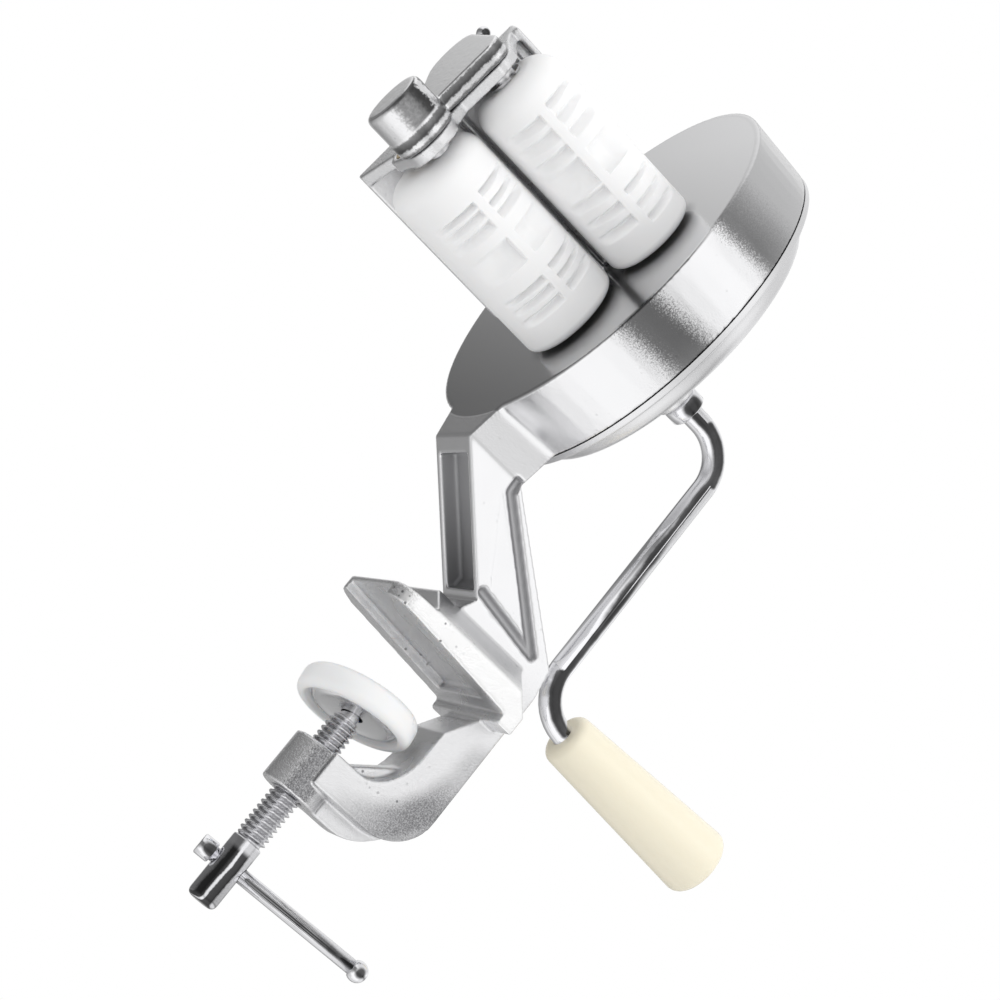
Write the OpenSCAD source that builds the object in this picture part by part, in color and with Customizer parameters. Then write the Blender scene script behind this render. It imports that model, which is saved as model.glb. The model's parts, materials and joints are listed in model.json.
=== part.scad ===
// Hand cranked roller machine for shell pasta, with a table clamp.
// Millimetres. Origin: on the clamp screw's axis, in the plane of the upper jaw's underside.
// +Z is up along the clamp screw, -Y is the roller side, +Y is the crank side.

/* [Drum] */
// Room between the large gear's teeth and the drum's wall
gear_room = 2; // [1.5:0.1:6]
// Depth of the drum from its front face to the rear cover
drum_depth = 18.6; // [18:0.2:24]
// Thickness of the drum's round wall
drum_wall = 3; // [2:0.5:4]
// Thickness of the drum's front face
drum_face_t = 3; // [2.5:0.5:4]
// Height of the drum's axis above the clamp jaw
drum_height = 103; // [96:1:115]
// Distance of the drum's front face ahead of the clamp screw
drum_ahead = 25.5; // [22:0.5:30]

/* [Rear cover] */
// Thickness of the cover's flange
cover_flange_t = 1.6; // [1:0.2:3]
// Width of the flange beside the cover's dome
flange_w = 7.5; // [7:0.5:12]
// Height of the dome above the flange
dome_rise = 7; // [5:0.5:10]
// Radius of the dome's rounded edge
dome_edge_r = 4; // [2:0.5:4.5]
// Wall of the cover
cover_wall = 2; // [1.5:0.5:3]
// Length of the bearing boss behind the dome
crank_boss_l = 12.6; // [8:0.2:14]
// Diameter of the bearing boss behind the dome
crank_boss_d = 14; // [12:0.5:18]
// Diameter of the cover screws
cover_screw_d = 3; // [2.5:0.5:4]

/* [Roller bracket] */
// Turn of the whole roller bracket about the drum's axis
head_turn = 18.5; // [0:0.5:30]
// Gap between the rollers and the bracket's end wall
end_gap = 2.2; // [1.6:0.1:5]
// Thickness of the bracket's end wall
end_wall_t = 3; // [2.5:0.5:4]
// Thickness of the bracket's back plate
plate_t = 3; // [2:0.5:4]
// Distance of the back plate from the rollers' plane
plate_offset = 13.9; // [13.8:0.1:18]
// Height of the back plate above the bracket's middle
plate_up = 23.5; // [22:0.5:28]
// Depth of the back plate below the bracket's middle
plate_down = 28.2; // [27:0.2:32]
// Width of the lip along the plate's upper edge
lip_w = 3.4; // [2:0.2:5]
// Thickness of the lip and of the plate's ribs
lip_t = 1.6; // [1:0.2:2.5]

/* [Rollers] */
// Diameter of the lower roller
lower_roller_d = 26.2; // [24:0.2:26.4]
// Diameter of the upper roller
upper_roller_d = 23.8; // [22:0.2:25]
// Length of both rollers
roller_l = 52.4; // [46:0.2:60]
// Distance between the two rollers' axes
roller_centres = 27; // [26:0.5:30]
// Distance of the rollers' plane from the drum's axis
roller_offset = 21.8; // [18:0.2:24]
// Distance of the lower roller's axis below the bracket's middle
roller_low = 15.1; // [14:0.1:16]
// Gap between the rollers and the drum's face
roller_gap = 0.9; // [0.6:0.1:2]
// Radius of the rollers' rounded ends beside the drum
roller_rear_r = 2.4; // [1:0.2:4]
// Radius of the rollers' rounded ends beside the end wall
roller_front_r = 5.6; // [2:0.2:6]
// Depth of the grooves below the roller's surface
groove_depth = 2.2; // [1.2:0.1:3]
// Depth of the middle pocket below the roller's surface
pocket_depth = 2.8; // [1.5:0.1:3.4]
// Width of the spines along the rollers
spine_w = 2.6; // [1.6:0.1:4]
// Number of grooved fields round each roller
field_count = 2; // [1:1:2]
// Angle from a spine to the ends of its grooves
field_turn = 57; // [40:1:80]
// Diameter of the roller shafts
shaft_d = 6; // [5:0.5:6.5]
// Wall of the bearing bushes
bush_wall = 1; // [0.8:0.1:1.4]

/* [Gears] */
// Teeth of each roller gear
roller_teeth = 30; // [24:1:36]
// Teeth of the large driven gear
drive_teeth = 42; // [36:1:44]
// Teeth of the crank's pinion
pinion_teeth = 14; // [13:1:18]
// Depth of the crank's axis below the drum's axis
crank_drop = 10; // [8:0.5:12]
// Thickness of the roller gears
roller_gear_t = 4.6; // [3:0.2:5]
// Thickness of the driven gear and the pinion
drive_gear_t = 4; // [3:0.2:4.4]

/* [Roller latch] */
// Thickness of the latch plate
latch_t = 4.7; // [4:0.1:7]
// Diameter of the latch's pivot boss
latch_boss_d = 15.6; // [13:0.2:17]
// Length of the pivot boss ahead of the end wall
latch_boss_l = 12.6; // [11:0.2:15]
// Distance of the latch pivot from the drum's axis, across the bracket
latch_u = 31; // [30:0.2:33]
// Depth of the latch pivot below the bracket's middle
latch_w = 11; // [9:0.2:13]
// Diameter of the latch's pivot screw
latch_screw_d = 4; // [3:0.5:5]
// Diameter of the latch's ball ended finger pin
finger_ball_d = 3.6; // [3:0.2:5]

/* [Arm] */
// Width of the arm
arm_w = 21; // [18:0.5:24]
// Depth of the neck below the drum's rim
neck_drop = 7; // [5:1:10]
// Thickness of the flange along the arm's back
back_flange_t = 3.3; // [2.5:0.1:4.5]
// Depth of the recesses in the arm's sides
side_recess = 2.6; // [1:0.2:4]
// Depth of the long pocket in the arm's front
front_pocket = 4.5; // [2:0.5:6]
// Width of the rim beside the front pocket
pocket_rim = 2.2; // [1.5:0.1:3]
// Height of the arm's heel above the jaw's underside
heel_h = 16; // [14:0.5:20]

/* [Clamp] */
// Width of the upper jaw
jaw_w = 40; // [34:1:44]
// Height of the upper jaw's top above its underside at the screw
jaw_t = 5.2; // [5:0.2:8]
// Lean of the upper jaw's underside, open at the front
jaw_lean = 4.2; // [0:0.2:5]
// Reach of the upper jaw ahead of the screw
jaw_ahead = 17.5; // [16:0.5:22]
// Depth of the recess under the upper jaw
jaw_recess = 2.4; // [1.6:0.2:3]
// Width of the rims beside that recess
jaw_rim = 7; // [5:0.2:9]
// Distance of the throat's back wall behind the screw
throat_y = 23; // [22:0.5:27]
// Distance of the spine's back face behind the screw
spine_y = 30.5; // [29.5:0.5:36]
// Depth of the threaded boss's top below the jaw
boss_drop = 34; // [32:1:40]
// Length of the threaded boss
boss_l = 13.6; // [12:0.2:18]
// Diameter of the threaded boss
boss_d = 15.2; // [14:0.2:20]
// Thickness of the bar round the throat
bar_t = 9; // [7:0.5:10]
// Thickness of the rib under the bar
rib_w = 7; // [4:0.5:9]

/* [Clamp screw] */
// Outer diameter of the thread
screw_d = 7.9; // [7:0.1:9]
// Pitch of the thread
screw_pitch = 1.5; // [1.25:0.05:2]
// Depth of the thread
thread_depth = 0.75; // [0.5:0.05:1]
// Length of the threaded part
thread_l = 37.2; // [30:0.1:44]
// Length of the plain head with the cross hole
head_l = 17.6; // [14:0.2:22]
// Diameter of the sliding bar
bar_d = 3.8; // [3:0.2:4.4]
// Length of the sliding bar between its knobs
bar_l = 42; // [34:1:50]
// Angle of the sliding bar, turned from the front to back direction
bar_turn = 17.8; // [0:0.2:60]
// Diameter of the knobs on the sliding bar
knob_d = 5.4; // [4.4:0.2:7]

/* [Pad] */
// Outer diameter of the pad's plastic cap
pad_d = 31; // [28:0.5:33]
// Height of the pad's plastic cap
pad_h = 7; // [5:0.5:8]
// Diameter of the metal cup inside the cap
cup_d = 25; // [20:0.2:26]
// Gap between the upper jaw and the pad at rest
pad_gap = 17.4; // [16:0.2:20]
// Lean of the loosely riveted pad at rest
pad_tilt = 11; // [0:1:12]

/* [Crank] */
// Diameter of the crank rod
rod_d = 6; // [5:0.2:7]
// Distance of the crank arm's plane behind the drum's front face
crank_reach = 60.9; // [59.5:0.1:68]
// Throw from the crank's axis to the grip's axis
crank_throw = 84; // [70:1:95]
// Radius of the rod's two bends
bend_r = 12; // [9:0.5:13]
// Diameter of the collar on the crank's axis
crank_collar_d = 10; // [9:0.5:13]

/* [Grip] */
// Length of the grip
grip_l = 52.6; // [46:0.2:65]
// Diameter of the grip at the rod
grip_d1 = 14.2; // [13:0.2:18]
// Diameter of the grip at its free end
grip_d2 = 19; // [16:0.2:24]
// Radius of the grip's rounded ends
grip_edge_r = 2.4; // [1:0.2:3]

/* [Hidden] */
$fn = 48;
over = 0.5;              // overrun of every cut
fit = 0.05;              // radial clearance of running fits
gap = 0.3;               // clearance between neighbours that don't touch

face_y = -drum_ahead;
back_y = face_y + drum_depth;
axis_z = drum_height;
bracket_reach = roller_gap + roller_l + end_gap + end_wall_t;
wall_y = face_y - bracket_reach;
low_w = -roller_low;
high_w = low_w + roller_centres;
crank_z = axis_z - crank_drop;

// The drum reaches past the large gear, whose axis is the upper roller's
crank_to_high = norm([roller_offset * cos(head_turn) + high_w * sin(head_turn),
    crank_drop - roller_offset * sin(head_turn) + high_w * cos(head_turn)]);
drive_m = 2 * crank_to_high / (drive_teeth + pinion_teeth);
tip_share = 0.86;
drive_tip_r = drive_m * (drive_teeth / 2 + tip_share);
drum_r = norm([roller_offset, high_w]) + drive_tip_r + gear_room + drum_wall;

// Places on the turned bracket, given across and up it, as X and Z
function on_bracket(u, w) = [u * cos(head_turn) + w * sin(head_turn),
    axis_z - u * sin(head_turn) + w * cos(head_turn)];
low_at = on_bracket(roller_offset, low_w);
high_at = on_bracket(roller_offset, high_w);
pivot = on_bracket(latch_u, -latch_w);
roller_y1 = face_y - roller_gap;
roller_y0 = roller_y1 - roller_l;
bush_r = shaft_d / 2 + bush_wall;
flange_y = back_y + gap / 3;
cover_r = drum_r - drum_wall / 3;
dome_y = flange_y + cover_flange_t + dome_rise;
boss_end_y = dome_y + crank_boss_l;

// Layers inside the drum, from front to back
inner_boss_l = 2.6;
inner_boss_r = bush_r + 3 * bush_wall;
roller_gear_y = face_y + drum_face_t + inner_boss_l + gap;
drive_gear_y = roller_gear_y + roller_gear_t + gap;
drive_gear_end = drive_gear_y + drive_gear_t;

function polar(c, r, a) = [c[0] + r * cos(a), c[1] + r * sin(a)];
function arc(c, rx, ry, a0, a1, n) =
    [for (i = [0:n]) let (a = a0 + (a1 - a0) * i / n) [c[0] + rx * cos(a), c[1] + ry * sin(a)]];

// Extrudes an outline drawn in X and Z along Y
module along_y(from, to) {
    translate([0, to, 0]) rotate([90, 0, 0]) linear_extrude(to - from) children();
}
// Extrudes an outline drawn in Y and Z to both sides of X = 0
module along_x(half) {
    rotate([90, 0, 90]) linear_extrude(2 * half, center = true) children();
}
// Turns a profile of radius and Y round an axis along Y through x and z
module turned_y(x, z) {
    translate([x, 0, z]) rotate([-90, 0, 0]) rotate_extrude() children();
}
// Stands what is drawn about the drum's axis on the turned bracket
module bracket_turn() {
    translate([0, 0, axis_z]) rotate([0, head_turn, 0]) children();
}
module rod_y(r, from, to, x = 0, z = 0) {
    translate([x, from, z]) rotate([-90, 0, 0]) cylinder(r = r, h = to - from);
}

// Frame casting: drum, neck, arm, jaw, throat bar and roller bracket in one piece

neck_w = arm_w * 1.6;
neck_z = axis_z - drum_r - neck_drop;
heel_y = spine_y - back_flange_t / 2;
foot_y = arm_w / 8;
arm_foot_z = heel_h;
arm_profile = [
    [face_y, neck_z], [foot_y, arm_foot_z], [foot_y - jaw_t, jaw_t],
    [throat_y, 0], [spine_y, 0], [spine_y, heel_h / 2], [heel_y, arm_foot_z],
    [back_y, neck_z], [back_y, neck_z + arm_w], [face_y, neck_z + arm_w]];

module drum_shell() {
    turned_y(0, axis_z)
        polygon([[0, face_y], [drum_r, face_y], [drum_r - drum_wall / 4, back_y],
            [drum_r - drum_wall, back_y], [drum_r - drum_wall, face_y + drum_face_t], [0, face_y + drum_face_t]]);
    for (p = [low_at, high_at]) rod_y(inner_boss_r, face_y, face_y + drum_face_t + inner_boss_l, p[0], p[1]);
    cover_lugs();
}

cover_screw_count = 3;
cover_screw_turn = 60;
cover_lug_r = cover_screw_d;
cover_lug_ring = drum_r - drum_wall - cover_lug_r / 2 - gap;
function cover_screw_at(i) = polar([0, axis_z], cover_lug_ring, cover_screw_turn + 360 * i / cover_screw_count);

module cover_lugs() {
    for (i = [0:cover_screw_count - 1])
        let (p = cover_screw_at(i)) rod_y(cover_lug_r, face_y, back_y, p[0], p[1]);
}
module cover_screw_holes(r, from, to) {
    for (i = [0:cover_screw_count - 1])
        let (p = cover_screw_at(i)) rod_y(r, from, to, p[0], p[1]);
}

// Neck: the drum's face runs down to the arm in straight flanks
module neck() {
    along_y(face_y, back_y)
        polygon([[-neck_w / 2, neck_z + arm_w * 0.64], [-arm_w / 2, neck_z],
            [arm_w / 2, neck_z], [neck_w / 2, neck_z + arm_w * 0.64]]);
}

// Side recess: a triangle inside the back flange and above the heel
module side_recess_outline() {
    top_y = back_y - back_flange_t / 3;
    low_y = heel_y - 2 * back_flange_t;
    polygon([[top_y - back_flange_t, neck_z - back_flange_t], [top_y, neck_z - 1.6 * back_flange_t],
        [low_y, arm_foot_z - back_flange_t / 4],
        [foot_y + 2 * pocket_rim, arm_foot_z - back_flange_t / 4]]);
}

arm_core = arm_w / 2 - side_recess;
module arm() {
    front_len = norm([foot_y - face_y, neck_z - arm_foot_z]);
    front_angle = atan2(arm_foot_z - neck_z, foot_y - face_y);
    difference() {
        along_x(arm_w / 2) polygon(arm_profile);
        for (s = [-1, 1]) translate([s * (arm_core + arm_w / 2), 0, 0]) along_x(arm_w / 2) side_recess_outline();
        // Long pocket in the sloping front
        translate([0, face_y, neck_z]) rotate([front_angle, 0, 0])
            translate([-arm_w / 2 + pocket_rim, 2 * pocket_rim, -arm_w])
                cube([arm_w - 2 * pocket_rim, front_len - 3 * pocket_rim, arm_w + front_pocket]);
    }
}

// Upper jaw: a plate with round front corners, a leaning underside and a recess that runs out at the front
jaw_corner = jaw_ahead * 0.4;
jaw_y1 = throat_y - gap;
jaw_low = jaw_y1 * tan(jaw_lean);
jaw_gusset = 4.6;
module jaw_plan() {
    r = jaw_corner;
    w = jaw_w / 2;
    polygon(concat(arc([-w + r, -jaw_ahead + r], r, r, 180, 270, 6),
        arc([w - r, -jaw_ahead + r], r, r, 270, 360, 6), [[w, jaw_y1], [-w, jaw_y1]]));
}
module jaw() {
    difference() {
        union() {
            translate([0, 0, -jaw_low]) linear_extrude(jaw_t + jaw_low) jaw_plan();
            // The jaw's top slopes up to the arm
            along_y(foot_y - 2 * jaw_gusset, jaw_y1)
                polygon([[-jaw_w / 2, jaw_t], [-arm_w / 2, 2.2 * jaw_t], [arm_w / 2, 2.2 * jaw_t],
                    [jaw_w / 2, jaw_t], [jaw_w / 2, jaw_t / 2], [-jaw_w / 2, jaw_t / 2]]);
            // Gussets run down the spine behind the jaw
            along_x(jaw_w / 2)
                polygon([[jaw_y1 - jaw_gusset, jaw_t], [jaw_y1, jaw_t], [spine_y - back_flange_t, jaw_t - jaw_gusset],
                    [spine_y - back_flange_t, -jaw_gusset], [throat_y, -jaw_gusset], [jaw_y1 - jaw_gusset, -gap]]);
        }
        // Underside that leans open towards the front
        rotate([-jaw_lean, 0, 0]) translate([-jaw_w, -2 * jaw_ahead, -jaw_w])
            cube([2 * jaw_w, 2 * jaw_ahead + jaw_y1 - gap, jaw_w]);
        rotate([-jaw_lean, 0, 0]) translate([-jaw_w / 2 + jaw_rim, -2 * jaw_ahead, -over])
            cube([jaw_w - 2 * jaw_rim, 2 * jaw_ahead + jaw_y1 - jaw_gusset, jaw_recess + over]);
    }
}

// Spine, throat bar, rib and the threaded boss of the clamp
boss_z1 = -boss_drop;
boss_z0 = boss_z1 - boss_l;
bar_bottom = boss_z1 + gap;
outer_c = [boss_d * 0.85, -boss_drop * 0.65];
outer_ry = outer_c[1] - boss_z0;
outer_rx = spine_y - outer_c[0];
inner_c = [boss_d / 2, -boss_drop * 0.6];
inner_rx = pad_d / 2 + 2 * gap + back_flange_t / 2 - inner_c[0];
inner_ry = inner_c[1] - bar_bottom;
corner_c = [spine_y * 0.57, -boss_drop * 0.9];
bar_half = arm_w / 2 - 4 * gap;
module throat_bar() {
    along_x(bar_half)
        polygon(concat([[inner_c[0] - boss_d / 2, bar_bottom]],
            arc(inner_c, inner_rx, inner_ry, -90, 0, 10),
            [[inner_c[0] + inner_rx, -boss_drop * 0.38], [throat_y, -jaw_gusset], [throat_y, jaw_t],
                [spine_y, jaw_t]],
            arc(corner_c, spine_y - corner_c[0], corner_c[1] - bar_bottom + bar_t, 0, -90, 10),
            [[inner_c[0] - boss_d / 2, bar_bottom - bar_t]]));
}
module rib() {
    along_x(rib_w / 2)
        polygon(concat([[spine_y, heel_h / 2]], arc(outer_c, outer_rx, outer_ry, 0, -90, 12),
            [[0, boss_z0], [0, bar_bottom - bar_t / 2], [spine_y - bar_t, outer_c[1]]]));
}

// Roller bracket: a back plate and an end wall that carries the front bearings
plate_u = roller_offset - plate_offset;
journal_r = bush_r + 1.8 * bush_wall;
lug_r = latch_boss_d / 2 - 3 * gap;
module end_wall() {
    bracket_turn() along_y(wall_y, wall_y + end_wall_t) {
        polygon([[plate_u - plate_t, -plate_down], [plate_u, -plate_down],
            [roller_offset - journal_r * 0.7, low_w - journal_r * 0.7],
            [roller_offset + journal_r * 0.5, low_w - journal_r * 0.87], [latch_u, -latch_w - lug_r],
            [latch_u, -latch_w + lug_r], [roller_offset + journal_r, 0],
            [roller_offset + journal_r + bush_wall, high_w], [roller_offset + journal_r * 0.5, high_w + journal_r * 0.9],
            [roller_offset - journal_r, high_w + journal_r * 1.3], [plate_u - plate_t, plate_up]]);
        for (p = [low_w, high_w]) translate([roller_offset, p]) circle(r = journal_r);
        translate([latch_u, -latch_w]) circle(r = lug_r);
    }
}
plate_end_l = 9.5;
module back_plate() {
    corner = plate_end_l;
    rib = lip_t / 2;
    bracket_turn() {
        translate([plate_u - plate_t / 2, 0, 0]) along_x(plate_t / 2)
            polygon([[wall_y, -plate_down], [face_y - corner, -plate_down],
                [face_y - 0.88 * corner, -plate_down + 0.9 * corner], [face_y + over, -plate_down + 1.5 * corner],
                [face_y + over, plate_up], [wall_y, plate_up]]);
        // Lip along the upper edge, two thin ribs below it and a ledge behind the rollers' gap
        translate([plate_u - gap, wall_y + gap, plate_up - lip_t]) cube([lip_w + gap, bracket_reach, lip_t]);
        for (k = [1:2])
            translate([plate_u - gap, wall_y + gap, plate_up - lip_t - k * 2.2 * lip_t])
                cube([lip_w / 4 + gap, bracket_reach, rib]);
        translate([plate_u - gap, wall_y + gap, (low_w + high_w) / 2 - gap])
            cube([lip_w + gap, bracket_reach, lip_t]);
    }
}

module frame_casting() {
    color("silver") difference() {
        union() {
            drum_shell();
            neck();
            arm();
            jaw();
            throat_bar();
            rib();
            translate([0, 0, boss_z0]) cylinder(d = boss_d, h = boss_l);
            end_wall();
            back_plate();
        }
        for (p = [low_at, high_at]) {
            rod_y(bush_r, wall_y - over, wall_y + end_wall_t + over, p[0], p[1]);
            rod_y(bush_r, face_y - over, roller_gear_y + over, p[0], p[1]);
        }
        rod_y(latch_screw_d / 2, wall_y - over, wall_y + end_wall_t + over, pivot[0], pivot[1]);
        cover_screw_holes(cover_screw_d / 2, back_y - cover_hole_l, back_y + over);
        translate([0, 0, boss_z0 - over]) cylinder(r = screw_d / 2 + fit, h = boss_l + 2 * over);
    }
}

// Rear cover with a dome, a hub for the upper shaft and the crank's long boss
cover_hole_l = 8;
inner_hub_l = dome_y - cover_wall - drive_gear_end - gap;
module rear_cover() {
    dome_r = cover_r - flange_w;
    color("gainsboro") difference() {
        union() {
            turned_y(0, axis_z)
                polygon(concat([[0, dome_y], [dome_r - dome_edge_r, dome_y]],
                    arc([dome_r - dome_edge_r, dome_y - dome_edge_r], dome_edge_r, dome_edge_r, 75, 0, 5),
                    [[dome_r + dome_edge_r / 4, flange_y + cover_flange_t], [cover_r, flange_y + cover_flange_t],
                        [cover_r, flange_y], [dome_r - cover_wall, flange_y],
                        [dome_r - cover_wall, dome_y - dome_edge_r], [dome_r - dome_edge_r, dome_y - cover_wall],
                        [0, dome_y - cover_wall]]));
            rod_y(crank_boss_d / 2, drive_gear_end + gap, boss_end_y, 0, crank_z);
            rod_y(inner_boss_r, drive_gear_end + gap, dome_y - cover_wall / 2, high_at[0], high_at[1]);
        }
        rod_y(rod_d / 2 + bush_wall, drive_gear_end - over, boss_end_y + over, 0, crank_z);
        rod_y(bush_r, drive_gear_end - over, drive_gear_end + gap + upper_rear_l, high_at[0], high_at[1]);
        cover_screw_holes(cover_screw_d / 2 + fit, flange_y - over, flange_y + 3 * cover_flange_t);
        for (i = [0:cover_screw_count - 1]) let (p = cover_screw_at(i)) screw_head(p, fit);
    }
}

// Countersunk screws, flush in the cover's flange
module screw_head(p, extra) {
    top_y = flange_y + cover_flange_t;
    turned_y(p[0], p[1]) polygon([[0, flange_y + extra], [cover_screw_d / 2 + extra, flange_y + extra],
        [cover_screw_d + extra, top_y], [cover_screw_d + extra, top_y + extra * 2], [0, top_y + extra * 2]]);
}
module cover_screws() {
    top_y = flange_y + cover_flange_t;
    slot = cover_screw_d / 4;
    color("gray") for (i = [0:cover_screw_count - 1]) let (p = cover_screw_at(i)) difference() {
        union() {
            rod_y(cover_screw_d / 2, back_y - cover_hole_l + over, flange_y + gap, p[0], p[1]);
            screw_head(p, 0);
        }
        translate([p[0] - 2 * cover_screw_d, top_y - cover_flange_t / 2, p[1] - slot / 2])
            cube([4 * cover_screw_d, cover_flange_t, slot]);
    }
}

// Bearing bushes
upper_rear_l = 4;
module bush(inner_d, from, to, p) {
    color("goldenrod") difference() {
        rod_y(inner_d / 2 + bush_wall, from, to, p[0], p[1]);
        rod_y(inner_d / 2 + fit, from - over, to + over, p[0], p[1]);
    }
}
module lower_front_bush() { bush(shaft_d, wall_y, wall_y + end_wall_t, low_at); }
module upper_front_bush() { bush(shaft_d, wall_y, wall_y + end_wall_t, high_at); }
module lower_drum_bush() { bush(shaft_d, face_y, roller_gear_y - gap, low_at); }
module upper_drum_bush() { bush(shaft_d, face_y, roller_gear_y - gap, high_at); }
module upper_rear_bush() { bush(shaft_d, drive_gear_end + gap, drive_gear_end + gap + upper_rear_l, high_at); }
module crank_bush() { bush(rod_d, drive_gear_end + gap, boss_end_y, [0, crank_z]); }

// Rollers: each field has short grooves and a middle pocket on both sides of a spine.
// The shares are starts and ends along the roller, on the lower and on the upper side of the spine.
upper_groove_shares = [
    [[0.168, 0.212], [0.246, 0.302], [0.344, 0.392], [0.596, 0.648], [0.698, 0.738], [0.782, 0.826]],
    [[0.149, 0.181], [0.219, 0.263], [0.303, 0.347], [0.681, 0.708], [0.765, 0.798], [0.844, 0.874]]];
lower_groove_shares = [
    [[0.231, 0.258], [0.277, 0.312], [0.336, 0.380], [0.689, 0.716], [0.740, 0.773], [0.802, 0.838]],
    [[0.214, 0.240], [0.286, 0.310], [0.340, 0.372], [0.677, 0.702], [0.739, 0.763], [0.800, 0.832]]];
upper_pocket_shares = [0.415, 0.585];
lower_pocket_shares = [0.443, 0.593];
// A cut round part of a roller, between two angles counted from +X towards +Z
module round_cut(at, from, to) {
    translate([at[0], 0, at[1]]) rotate([0, -to, 0]) rotate([-90, 0, 0])
        rotate_extrude(angle = to - from) children();
}
module roller(d, at, spine, grooves, pocket) {
    r = d / 2;
    front_e = roller_front_r;
    rear_e = roller_rear_r;
    half = asin(spine_w / d);
    // The two sides of a spine, from its own side out to the grooves' ends
    sides = [[-field_turn, -half], [half, field_turn]];
    color("white") difference() {
        turned_y(at[0], at[1]) polygon(concat([[0, roller_y0]],
            arc([r - front_e, roller_y0 + front_e], front_e, front_e, -90, 0, 8),
            arc([r - rear_e, roller_y1 - rear_e], rear_e, rear_e, 0, 90, 6),
            [[0, roller_y1]]));
        for (k = [0:field_count - 1]) for (i = [0:1])
            round_cut(at, spine + 180 * k + sides[i][0], spine + 180 * k + sides[i][1]) {
                for (g = grooves[i]) let (y0 = roller_y0 + g[0] * roller_l, y1 = roller_y0 + g[1] * roller_l)
                    polygon([[r - groove_depth, y0], [r + over, y0], [r + over, y1 + (y1 - y0) / 8],
                        [r - groove_depth, y1 - (y1 - y0) / 4]]);
                y0 = roller_y0 + pocket[0] * roller_l;
                y1 = roller_y0 + pocket[1] * roller_l;
                polygon([[r + over, y0], [r - 0.8 * pocket_depth, y0 + (y1 - y0) / 5],
                    [r - pocket_depth, (y0 + y1) / 2], [r - 0.8 * pocket_depth, y1 - (y1 - y0) / 5],
                    [r + over, y1]]);
            }
        rod_y(shaft_d / 2, roller_y0 - over, roller_y1 + over, at[0], at[1]);
    }
}
lower_spine = -8;
upper_spine = -17;
module lower_roller() { roller(lower_roller_d, low_at, lower_spine, lower_groove_shares, lower_pocket_shares); }
module upper_roller() { roller(upper_roller_d, high_at, upper_spine, upper_groove_shares, upper_pocket_shares); }

// Roller shafts, with a groove for a clip behind the last gear
clip_t = 0.6;
clip_depth = shaft_d / 12;
shaft_tail = 2 * clip_t;
module shaft(at, to, clip_y) {
    color("lightgray") turned_y(at[0], at[1]) polygon([[0, wall_y + gap], [shaft_d / 2 - gap, wall_y + gap],
        [shaft_d / 2, wall_y + 2 * gap], [shaft_d / 2, clip_y], [shaft_d / 2 - clip_depth, clip_y],
        [shaft_d / 2 - clip_depth, clip_y + clip_t], [shaft_d / 2, clip_y + clip_t], [shaft_d / 2, to], [0, to]]);
}
lower_clip_y = roller_gear_y + roller_gear_t;
lower_tail = lower_clip_y + shaft_tail;
upper_tail = drive_gear_end + gap + upper_rear_l - gap;
upper_clip_y = roller_y0 - clip_t - gap / 3;
module lower_roller_shaft() { shaft(low_at, lower_tail, lower_clip_y); }
module upper_roller_shaft() { shaft(high_at, upper_tail, upper_clip_y); }

// Open clips that sit in the shafts' grooves
module clip(at, from) {
    color("dimgray") difference() {
        rod_y(shaft_d * 0.75, from, from + clip_t, at[0], at[1]);
        rod_y(shaft_d / 2 - clip_depth, from - over, from + clip_t + over, at[0], at[1]);
        translate([at[0], from - over, at[1] - clip_depth * 2]) cube([shaft_d, clip_t + 2 * over, clip_depth * 4]);
    }
}
module lower_shaft_clip() { clip(low_at, lower_clip_y); }
module upper_shaft_clip() { clip(high_at, upper_clip_y); }

// Spur gears with involute flanks
pressure = 20;
backlash = 0.16;
function inv(a) = tan(a) * 180 / PI - a;
function flank_turn(base_r, r) = r <= base_r ? 0 : inv(acos(base_r / r));
function tooth(teeth, m, steps) =
    let (pr = teeth * m / 2, base_r = pr * cos(pressure), root = pr - 1.2 * m, tip = pr + tip_share * m,
        half = 90 / teeth - backlash / pr * 45 / PI + inv(pressure))
    concat([[root, half + 0.5]],
        [for (i = [0:steps]) let (r = max(base_r, root) + (tip - max(base_r, root)) * i / steps)
            [r, half - flank_turn(base_r, r)]],
        [for (i = [steps:-1:0]) let (r = max(base_r, root) + (tip - max(base_r, root)) * i / steps)
            [r, -(half - flank_turn(base_r, r))]],
        [[root, -(half + 0.5)]]);
module gear_outline(teeth, m, turn) {
    one = tooth(teeth, m, 4);
    polygon([for (k = [0:teeth - 1]) for (p = one)
        let (a = turn - 360 * k / teeth + p[1]) [p[0] * cos(a), p[0] * sin(a)]]);
}
module gear(teeth, m, turn, at, from, t, bore) {
    difference() {
        along_y(from, from + t) translate(at) gear_outline(teeth, m, turn);
        rod_y(bore, from - over, from + t + over, at[0], at[1]);
    }
}
// Directions from the lower roller to the upper one, and from the crank to the upper one
roller_line = atan2(high_at[1] - low_at[1], high_at[0] - low_at[0]);
crank_line = atan2(high_at[1] - crank_z, high_at[0]);
roller_m = roller_centres / roller_teeth;
module lower_roller_gear() {
    color("darkgray") gear(roller_teeth, roller_m, roller_line, low_at, roller_gear_y, roller_gear_t, shaft_d / 2);
}
module upper_roller_gear() {
    color("darkgray") gear(roller_teeth, roller_m, roller_line + 180 + 180 / roller_teeth, high_at,
        roller_gear_y, roller_gear_t, shaft_d / 2);
}
module drive_gear() {
    color("darkgray") {
        gear(drive_teeth, drive_m, crank_line + 180 + 180 / drive_teeth, high_at,
            drive_gear_y, drive_gear_t, shaft_d / 2);
        // Spacer hub between the two gears on the upper shaft
        difference() {
            rod_y(shaft_d, roller_gear_y + roller_gear_t, drive_gear_y, high_at[0], high_at[1]);
            rod_y(shaft_d / 2, roller_gear_y + roller_gear_t - over, drive_gear_y + over, high_at[0], high_at[1]);
        }
    }
}
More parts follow.
